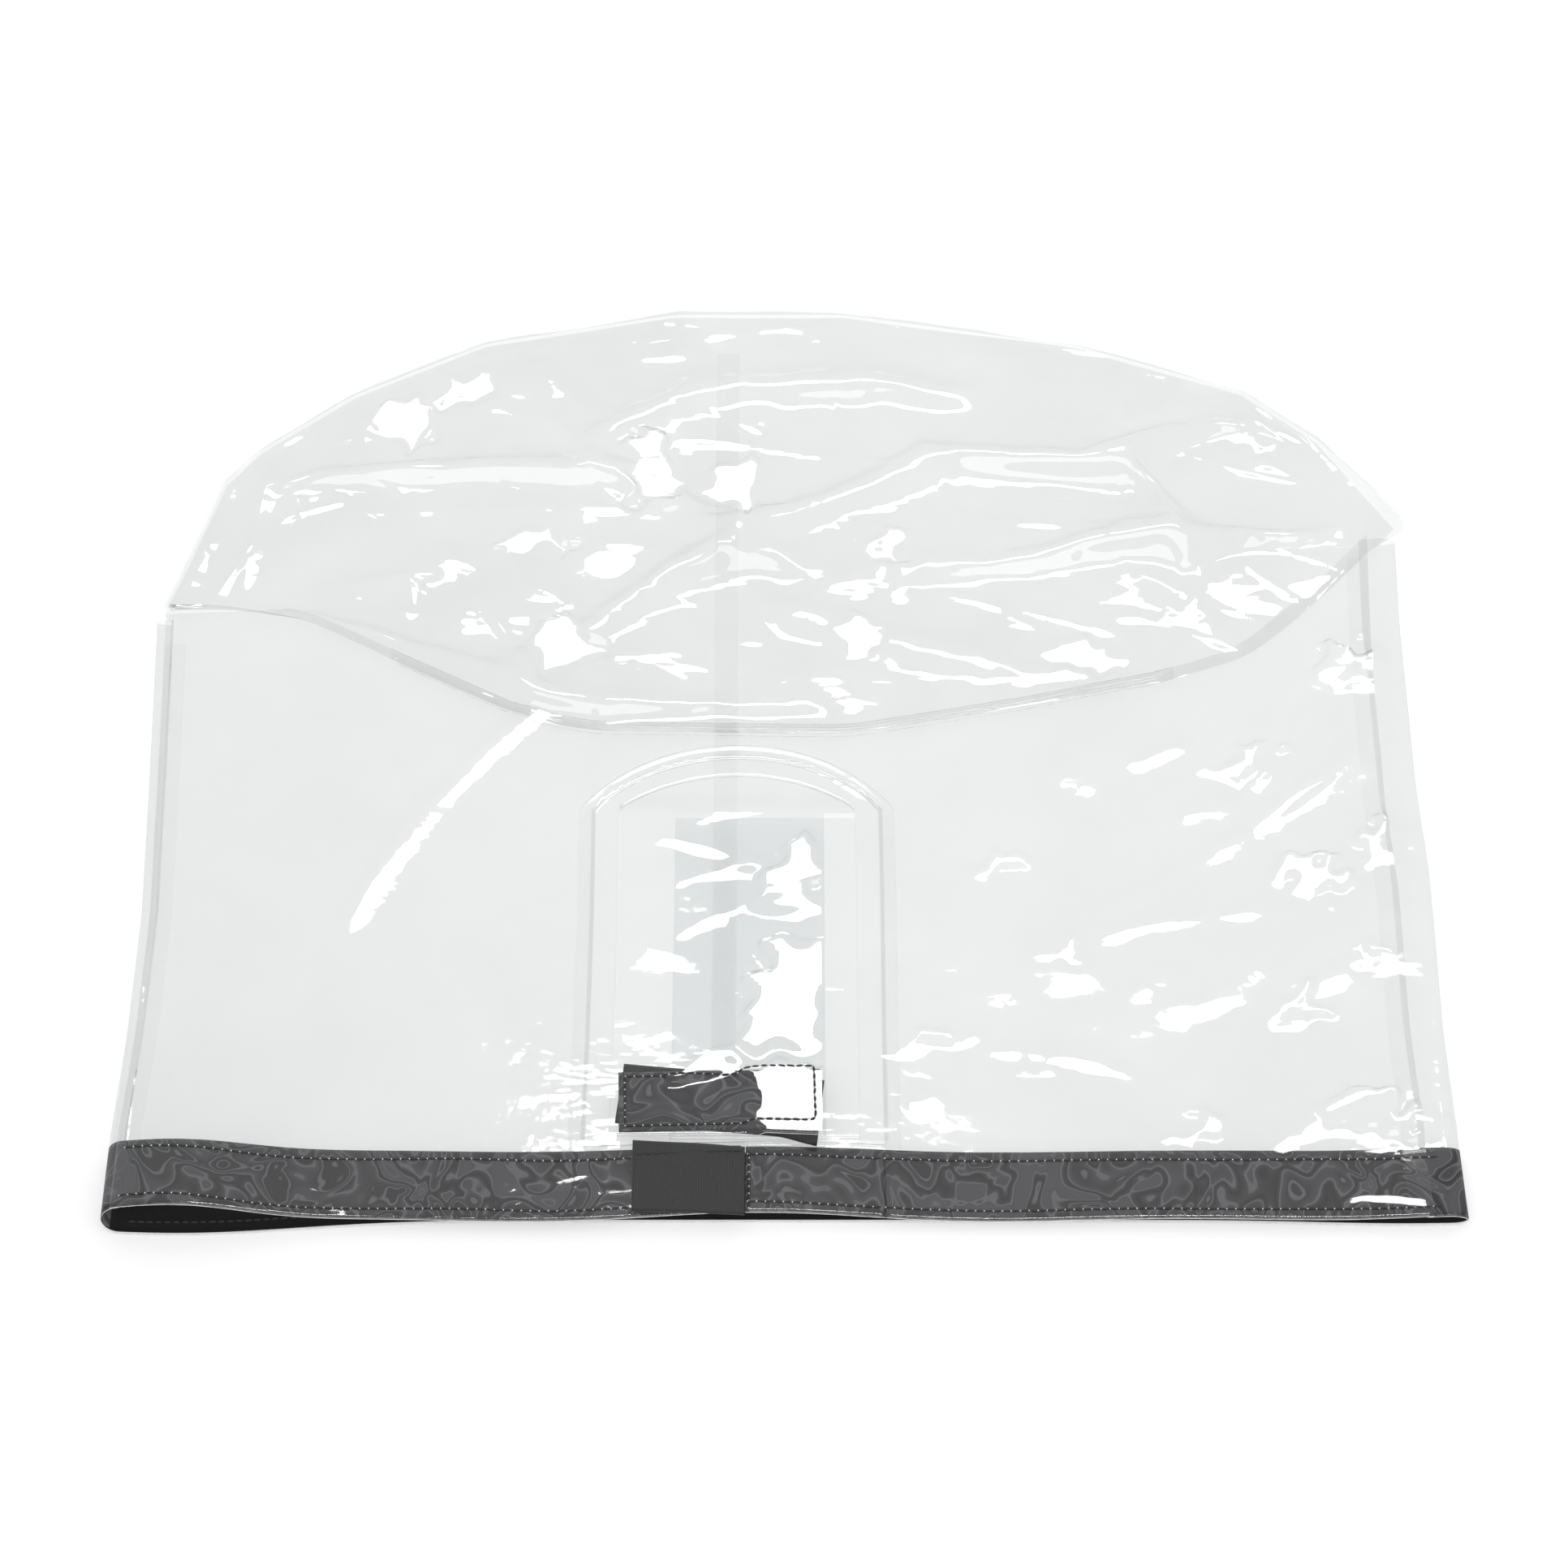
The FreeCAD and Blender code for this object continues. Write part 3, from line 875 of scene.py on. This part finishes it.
def crown_film():
    """The slack crown: fallen as cloth, rounded down to the back at its far edge, and lying on
    the front film at its near edge."""
    columns, rows = 112, 38
    patch = crown_patch(columns, rows)
    top = slumped(*patch)
    rest = front_height(top[..., 0], top[..., 1]) + 0.8
    top[..., 2] -= (CROWN_Z - rest) * (1 - step(patch[3], 0, 0.42))
    points = top.reshape(-1, 3)
    faces = grid_faces(rows, columns)
    rim = border(np.arange(columns * rows).reshape(rows, columns))
    near = np.zeros(len(rim), bool)
    near[:columns] = True
    edge = points[rim]
    heading = np.roll(edge, -1, axis=0) - np.roll(edge, 1, axis=0)
    out = np.stack([heading[:, 1], -heading[:, 0]], -1)
    out /= np.linalg.norm(out, axis=1, keepdims=True)
    soft = np.pad(near.astype(float), 4, mode="wrap")
    soft = np.convolve(soft, np.ones(9) / 9, mode="valid")[:, None]
    x, y = edge[:, :1], edge[:, 1:2]
    previous = rim
    for turn in (0.3, 0.62, 0.85, 1.0):
        lean = turn * math.pi / 2
        far_place = edge[:, :2] + out * ROUNDING * math.sin(lean)
        far_z = edge[:, 2:] + (BACK_Z + 0.5 - edge[:, 2:]) * (1 - math.cos(lean))
        near_place = edge[:, :2] + out * 0.5 * turn
        near_z = edge[:, 2:] - 0.1 * turn
        place = near_place * soft + far_place * (1 - soft)
        ring = np.hstack([place, near_z * soft + far_z * (1 - soft)])
        start = len(points)
        points = np.vstack([points, ring])
        current = list(range(start, start + len(rim)))
        closed = zip(previous, np.roll(previous, -1), np.roll(current, -1), current)
        faces += [[int(i) for i in face][::-1] for face in closed]
        previous = current
    rough = mesh_object("Dome_rough", put(*points.T), faces, CRUMPLED_SHADED)
    smoother = rough.modifiers.new("Smooth", "SUBSURF")
    smoother.levels = smoother.render_levels = 2
    shape = rough.evaluated_get(bpy.context.evaluated_depsgraph_get())
    mesh = bpy.data.meshes.new_from_object(shape)
    bpy.data.objects.remove(rough)
    places = mesh_points(mesh)
    x, y = places[:, 0] / MM, (places[:, 1] - HEM_Y) / MM
    inner = step(y - fold_line(x), 0, 6) * step(places[:, 2] / MM, 2, 4.5)
    z = places[:, 2] / MM + crown_ripples(x, y) * inner
    for centre, half_width, length, turn in CROWN_FACETS:
        window = pad(x, y, centre, half_width, length, turn) * inner
        slope_x, slope_y = catch_slope(*centre)
        plane = np.average(z, weights=window) + slope_x * (x - centre[0]) + slope_y * (y - centre[1])
        z = z + window * (plane - z)
    places[:, 2] = z * MM
    mesh.vertices.foreach_set("co", places.ravel())
    piece = settle(linked("Dome_film", mesh), "cover", "crown_panel")


def crown_ripples(x, y):
    """Small waves and creases of the crown's film, in mm."""
    patchy = step(ripples(x, y, 35, 200, 90), -0.5, 0.6)
    waves = 0.6 * ripples(x, y, 31, 110, 45, stretch=2.2, angle=5)
    lumps = 0.5 * ripples(x, y, 36, 60, 26, stretch=1.4, angle=20) * patchy
    lines = 0.42 * raised_lines(ripples(x, y, 33, 120, 60, stretch=3.2, angle=4), 0.16)
    lines = lines * step(ripples(x, y, 38, 160, 70), -0.6, 0.1)
    cross = 0.42 * raised_lines(ripples(x, y, 37, 90, 40, stretch=2.2, angle=-32), 0.17)
    cross = cross * step(ripples(x, y, 39, 140, 60), -0.2, 0.4)
    fine = 0.07 * ripples(x, y, 34, 24, 10, stretch=1.8)
    height = 0.3 + waves + lumps + lines + cross + fine
    for start, end in CROWN_CREASES:
        height = height + streak(x, y, start, end, 2.4, 2)
    return height


# Long sharp creases across the crown, each from a start to an end
CROWN_CREASES = [
    ((-308, 366), (-178, 372)),
    ((-292, 376), (-262, 432)),
    ((-262, 432), (-225, 447)),
    ((-240, 356), (-128, 296)),
    ((-236, 440), (8, 440)),
    ((-150, 425), (-4, 404)),
    ((-170, 402), (-120, 320)),
    ((-160, 553), (60, 574)),
    ((60, 574), (190, 546)),
    ((80, 460), (92, 420)),
    ((-60, 492), (70, 470)),
    ((70, 388), (190, 352)),
    ((60, 436), (300, 418)),
    ((130, 505), (180, 492)),
]


# ---- welds and the pouch


def weld_strips():
    """The welds down both sides, the back's seam and the weld between front and crown."""
    spacing = 5.0
    for name, node_name in (
        ("Side_weld_left", "side_weld_left"),
        ("Side_weld_right", "side_weld_right"),
        ("Back_seam", "back_seam_strip"),
    ):
        low, high = page_box(node_name)
        rows = np.arange(low[1], high[1] + spacing, spacing).clip(low[1], high[1])
        x, y = np.meshgrid(np.linspace(low[0], high[0], 4), rows)
        z = BACK_Z + 1.3 + 0 * x if name == "Back_seam" else front_height(x, y) + FILM_GAP
        strip = warp(x, y), y + front_shift(x, y), z
        film_grid(name, node_name, *strip, "cover", WELD, "", "weld")

    x, share = np.meshgrid(np.linspace(-200, 200, 90), [0.0, 0.5, 1.0])
    y = fold_line(x) + UNDER_CROWN - WELD_WIDTH * (1 - share)
    z = front_height(x, y) + FILM_GAP
    film_grid("Dome_weld", "crown_weld_strip", warp(x, y), y, z, "cover", WELD, slot="weld")


def arch_band(name, stands_for, inner, outer, low, lift, material, slot):
    """A strip that follows the pouch's arch, between two distances outside the cut-out."""
    steps = 120
    inside_line = divided_line(arch(inner, low), steps)
    outside_line = divided_line(arch(outer, low), steps)
    share = np.linspace(0, 1, 7)[:, None, None]
    path = inside_line[None] * (1 - share) + outside_line[None] * share
    x, y = path[..., 0], path[..., 1]
    bead = 0.5 * (bell(share[..., 0], 0, 0.3) + bell(share[..., 0], 1, 0.3))
    z = front_height(x, y) + lift + bead
    film_grid(name, stands_for, warp(x, y), y, z, "cover", material, "nf", slot)


def divided_line(points, count):
    """An open line of points made into count even steps."""
    points = np.array(points, float)
    reach = np.concatenate([[0], np.cumsum(np.hypot(*np.diff(points, axis=0).T))])
    at = np.linspace(0, reach[-1], count)
    return np.stack([np.interp(at, reach, points[:, k]) for k in (0, 1)], axis=-1)


def pouch_relief(x, y, seed):
    """Waves and creases of the pouch's films, in mm."""
    waves = 0.35 * ripples(x, y, seed, 110, 45, stretch=1.8, angle=60)
    return waves + 0.35 * creases(ripples(x, y, seed + 1, 80, 40, stretch=2.2, angle=-30), 0.15)


def pouch():
    """The arched access pouch: its weld, gusset and head, and the two flaps that close it."""
    weld = (0, WELD_WIDTH, WELD_LOW, WELD_LIFT)
    arch_band("Pouch_weld", "pouch_weld_strip", *weld, WELD, "weld")
    gusset = (-GUSSET, 2.0, FLAP_LOW, GUSSET_LIFT)
    arch_band("Pouch_gusset", "pouch_gusset", *gusset, FILM, "film")

    points, faces = flat_sheet(arch(-GUSSET, FLAP_HIGH), 3.0)
    x, y = points.T
    meets = 1 - step(y, FLAP_HIGH, FLAP_HIGH + 18)
    low = front_height(x, y) + HEAD_LIFT + 0.4 * pouch_relief(x, y, 45)
    z = low + (overlap_height(x, y) - low) * meets
    film_sheet("Pouch_head", "pouch_head", put(warp(x, y), y, z), faces, [], "cover")

    x, y = np.meshgrid(
        np.arange(UNDERLAP_LEFT, UNDERLAP_RIGHT + 0.1, 2.5), np.arange(FLAP_LOW, FLAP_HIGH, 2.5)
    )
    z = front_height(x, y) + UNDERLAP_LIFT + 0.5 * pouch_relief(x, y, 41)
    film_grid("Underlap_film", "underlap_panel", warp(x, y), y, z, "cover", THIN, "nl")

    x, y = np.meshgrid(
        np.arange(OVERLAP_LEFT, OVERLAP_RIGHT + 0.1, 2.0), np.linspace(FLAP_LOW, FLAP_HIGH, 100)
    )
    z = overlap_height(x, y)
    film_grid("Overlap_film", "overlap_panel", warp(x, y), y, z, "overlap_flap", THIN, "nr")


# Creases across the pouch's overlap, each from a start to an end
POUCH_STREAKS = [
    ((-68, 226), (-8, 204)),
    ((-56, 196), (-6, 208)),
    ((-56, 162), (0, 192)),
    ((-48, 234), (-6, 246)),
]


def overlap_rest(x, y):
    """Height of the overlap film where it lies on its tape."""
    above = step(y, FLAP_LOW + 38, FLAP_LOW + 75)
    lively = step(y, FLAP_LOW + 75, FLAP_LOW + 120) * (1 - bell(x, 4, 26))
    return front_height(x, y) + OVERLAP_LIFT + 0.6 * above + lively * pouch_relief(x, y, 43)


def overlap_height(x, y):
    """Height of the overlap film, with the pads that stand off and catch the light."""
    height = overlap_rest(x, y)
    height = height + facet(x, y, (6, 60), 20, 44, taper=0)
    height = height + facet(x, y, (1, 126), 18, 60, turn=-8, taper=0.3)
    height = height + facet(x, y, (4, 202), 14, 46, turn=-16, taper=0.9)
    height = height + facet(x, y, (-32, 88), 19, 9, turn=8)
    for start, end in POUCH_STREAKS:
        height = height + streak(x, y, start, end, 4.5, 3)
    return height


# ---- tapes


def box_grid(low, high, columns, rows):
    """Page coordinates of an even grid between two corners."""
    return np.meshgrid(np.linspace(low[0], high[0], columns), np.linspace(low[1], high[1], rows))


def on_hem(x, y, lift=0.0):
    """Page coordinates of points that follow the front's wavering hem."""
    return x, y + front_shift(x, y), front_height(x, y) + lift


def hem_tapes():
    """The loop tape that runs round the inside of the mouth, as one length, and the strap's piece."""
    rows, depth = 14, TAPE_THICK / 2 + TAPE_GAP
    x, y, z = tube_section(np.linspace(TAPE_LOW, TAPE_HIGH, rows), depth, SLIT - 1, ARCH_RIGHT)
    piece = slab("Hem_tape", "hem_tape", x, y, z, HEM_BLACK, "cover", "loop_tape")
    piece.data.materials.append(NAP_AND_SHADE_BLACK)
    columns = x.shape[1]
    # The back length inside the mouth gets the darker copy, which carries painted shade.
    along_back = np.flatnonzero(z[0] < FRONT_Z / 2)
    for face in piece.data.polygons:
        column = face.vertices[0] % columns
        face.material_index = int(along_back[0] <= column <= along_back[-1])

    strap = on_hem(*box_grid((STRAP_LEFT, TAPE_LOW), (STRAP_RIGHT, TAPE_HIGH), 28, rows), -depth)
    slab("Strap_tape", "strap_tape", *strap, HEM_BLACK, "hem_strap", "loop_tape")

    strap = on_hem(*box_grid((STRAP_LEFT, 0), (STRAP_RIGHT, STRAP_HIGH), 34, 20))
    film_grid("Strap_film", "strap_film", *strap, "hem_strap")


def hem_tab():
    """The ribbed tab, a little tilted, on its patch."""
    patch = on_hem(*box_grid(*page_box("hem_loop_patch"), 20, 14), PATCH_LIFT)
    slab("Hem_patch", "hem_loop_patch", *patch, PILE_BLACK, "cover", "hook_tape")

    x, y = box_grid((TAB_LEFT, TAB_LOW), (TAB_RIGHT, TAB_HIGH), 30, 24)
    share = (x - TAB_LEFT) / (TAB_RIGHT - TAB_LEFT)
    tilt = 5.5 * (1 - share) - 3.5
    z = front_height(x, y) + TAB_LIFT + 0.15 * ripples(x, y, 61, 50, 25)
    y = y + tilt + front_shift(x, y)
    slab("Tab_tape", "tab_tape", x, y, z, TAB_BLACK, "hem_tab", "tab_tape")


LOOP_TILT, HOOK_TILT = 1.5, -6.0  # of the pouch's two closure tapes, in degrees
CLOSURE_HALF = (48.0, 18.0)  # half the length and width of a closure tape


def closure_grid(tilt, grow=0.0, rows=20, columns=44):
    """Page coordinates of a tilted closure tape, grown all round."""
    centre = np.mean(page_box("closure_loop_tape"), axis=0)
    length, width = [half + grow for half in CLOSURE_HALF]
    u, v = np.meshgrid(np.linspace(-length, length, columns), np.linspace(-width, width, rows))
    turn = math.radians(tilt)
    x = centre[0] + u * math.cos(turn) - v * math.sin(turn)
    y = centre[1] + u * math.sin(turn) + v * math.cos(turn)
    return x, y


def closure_tapes():
    """The underlap's hook tape, whose near right corner sags, and the overlap's loop tape."""
    x, y = closure_grid(HOOK_TILT)
    y = y - 4.0 * step(x, -5, 18) * step(-y, -64, -46)
    z = front_height(x, y) + HOOK_LIFT
    slab("Closure_hook_tape", "closure_hook_tape", x, y, z, PILE_BLACK, "cover", "hook_tape")
    x, y = closure_grid(LOOP_TILT)
    z = overlap_rest(x, y) - LOOP_DROP
    slab("Closure_loop_tape", "closure_loop_tape", x, y, z, HEM_BLACK, "overlap_flap", "loop_tape")


# ---- stitches


def bead_row(name, starts, ends, thick, high, material, body, slot, stands_for=None):
    """One mesh of rounded stitches, each from a start point to an end point, thick and high in mm."""
    rings, sides = 5, 8
    blunt_end = 0.35  # how thick a stitch is at its ends, as a share of its middle
    t = np.linspace(0, math.pi, rings)
    around = np.linspace(0, 2 * math.pi, sides, endpoint=False)
    points, faces = [], []
    for a, b in zip(starts, ends):
        along = b - a
        side = np.cross(along, (0, 0, 1))
        side = side / (np.linalg.norm(side) + 1e-12)
        up = np.cross(side, along)
        up = up / (np.linalg.norm(up) + 1e-12)
        start = len(points)
        for k, turn in enumerate(t):
            centre = (a + b) / 2 - along / 2 * math.cos(turn)
            size = max(blunt_end, math.sin(turn)) * MM / 2
            for angle in around:
                out, rise = math.cos(angle), math.sin(angle)
                points.append(centre + side * out * size * thick + up * rise * size * high)
        faces += grid_faces(rings, sides, start, wrap=True)
        faces.append([start + k for k in range(sides)][::-1])
        faces.append([start + (rings - 1) * sides + k for k in range(sides)])
    settle(mesh_object(name, points, faces, material), body, stands_for)


def stitches(name, stands_for, line, body, dots=True):
    """A row of black stitches along a line of frame points, evenly spaced, with a painted
    highlight dot of pierced film at each needle hole."""
    line = np.asarray(line)
    reach = np.concatenate([[0], np.cumsum(np.linalg.norm(np.diff(line, axis=0), axis=1))])
    count = max(1, int(reach[-1] / (STITCH_PITCH * MM)))
    at = np.arange(count) * STITCH_PITCH * MM
    rng = np.random.default_rng(len(name))
    wander = rng.normal(0, 0.12 * MM, (count, 3)) * (1, 1, 0)

    def on_line(distance):
        return np.stack([np.interp(distance, reach, line[:, k]) for k in range(3)], axis=-1)

    starts = on_line(at + STITCH_GAP * MM) + wander
    ends = on_line(at + (STITCH_PITCH - STITCH_GAP) * MM) - wander
    bead_row(name, starts, ends, 1.3, 0.7, THREAD, body, "thread", stands_for)
    if dots:
        # Pale dots at the needle holes: painted highlight.
        holes, reach_out = on_line(at), (0.3 * MM, 0, 0)
        ends = holes - reach_out, holes + reach_out
        bead_row(name + "_holes", *ends, 0.7, 0.45, FILM_EDGE_HIGHLIGHT, body, "film")


def front_line(x0, x1, y, lift=THREAD_LIFT, count=200):
    """A sewn line along the front film, as frame points that waver a little."""
    x = np.linspace(x0, x1, count)
    y = np.full(count, float(y)) + 0.35 * ripples(x, 0 * x, 71, 160, 50)
    return put(warp(x, y), y + front_shift(x, y), front_height(x, y) + lift)


def hem_stitches():
    """The stitches of the hem, the strap, the slit and the tab."""
    patch_left = page_box("hem_loop_patch")[0][0]
    for name, y, strap_node in (("upper", UPPER_ROW, "strap_thread"), ("lower", LOWER_ROW, None)):
        left = front_line(LEFT_SEAM + 4, patch_left, y)
        stitches(f"Hem_stitches_{name}", f"hem_thread_{name}", left, "cover")
        right = front_line(ARCH_RIGHT, RIGHT_SEAM + 8, y)
        stitches(f"Hem_stitches_{name}_right", None, right, "cover")
        strap = front_line(STRAP_LEFT + 1, STRAP_RIGHT, y)
        stitches(f"Strap_stitches_{name}", strap_node, strap, "hem_strap")
    x = np.linspace(-HALF + 12, HALF - 12, 200)
    for index, (y, back_node) in enumerate(((UPPER_ROW, "hem_thread_back"), (LOWER_ROW, None))):
        back = put(x, y + back_shift(x, y), BACK_Z + TAPE_THICK + 0.8)
        stitches(f"Back_stitches_{index}", back_node, back, "cover", dots=False)
    ys = np.linspace(TAB_LOW + 2, TAB_HIGH - 2, 12)
    x = np.full(12, SLIT + 2.0)
    stitches("Slit_stitches", None, put(*on_hem(x, ys, THREAD_LIFT)), "hem_strap")
    tab = front_line(TAB_LEFT + 1, TAB_RIGHT - 1, TAB_HIGH - 6, lift=2.5, count=20)
    stitches("Tab_stitches", "tab_thread", tab, "hem_tab", dots=False)


def box_stitches():
    """The box of stitches round the loop tape."""
    tape = closure_grid(LOOP_TILT, grow=-3.0, rows=12, columns=30)
    x, y = [np.array([*border(grid), grid[0, 0]]) for grid in tape]
    line = put(x, y, overlap_height(x, y) + THREAD_LIFT)
    stitches("Closure_stitches", "closure_box_thread", line, "overlap_flap")


# ---- the studio


def studio():
    """The floor, the even surround, the two lights and the camera."""
    bpy.ops.mesh.primitive_plane_add(size=30, location=(0, 0, -0.0004))
    floor = bpy.context.object
    floor.name = "Floor"
    floor.data.materials.append(floor_material())

    world = bpy.data.worlds.new("Studio")
    bpy.context.scene.world = world
    world.use_nodes = True
    surround = world.node_tree.nodes["Background"].inputs
    surround["Color"].default_value = (1, 1, 1, 1)
    surround["Strength"].default_value = 0.6

    for name, azimuth, elevation, distance, size, radiance in (
        ("Key softbox", 15, 66, 2.2, (1.0, 0.4), 17.5),
        ("Front fill", 180, 62, 4.5, (3.5, 2.5), 2.1),
    ):
        data = bpy.data.lights.new(name, "AREA")
        data.shape = "RECTANGLE"
        data.size, data.size_y = size
        data.energy = radiance * math.pi * size[0] * size[1]
        lamp = linked(name, data)
        a, e = math.radians(azimuth), math.radians(elevation)
        away = Vector((math.sin(a) * math.cos(e), math.cos(a) * math.cos(e), math.sin(e)))
        lamp.location = away * distance
        lamp.rotation_mode = "QUATERNION"
        lamp.rotation_quaternion = away.to_track_quat("Z", "Y")

    data = bpy.data.cameras.new("Camera")
    data.lens = 137.7
    camera = linked("Camera", data)
    camera.location = (-0.0006, -1.9224, 2.2981)
    aim = Vector((-0.0006, -0.0287, 0)) - camera.location
    camera.rotation_mode = "QUATERNION"
    camera.rotation_quaternion = aim.to_track_quat("-Z", "Y")
    bpy.context.scene.camera = camera
    bpy.context.scene.view_settings.view_transform = "Standard"


def main():
    back_film()
    front_film()
    crown_film()
    weld_strips()
    pouch()
    hem_tapes()
    hem_tab()
    closure_tapes()
    hem_stitches()
    box_stitches()
    studio()


main()
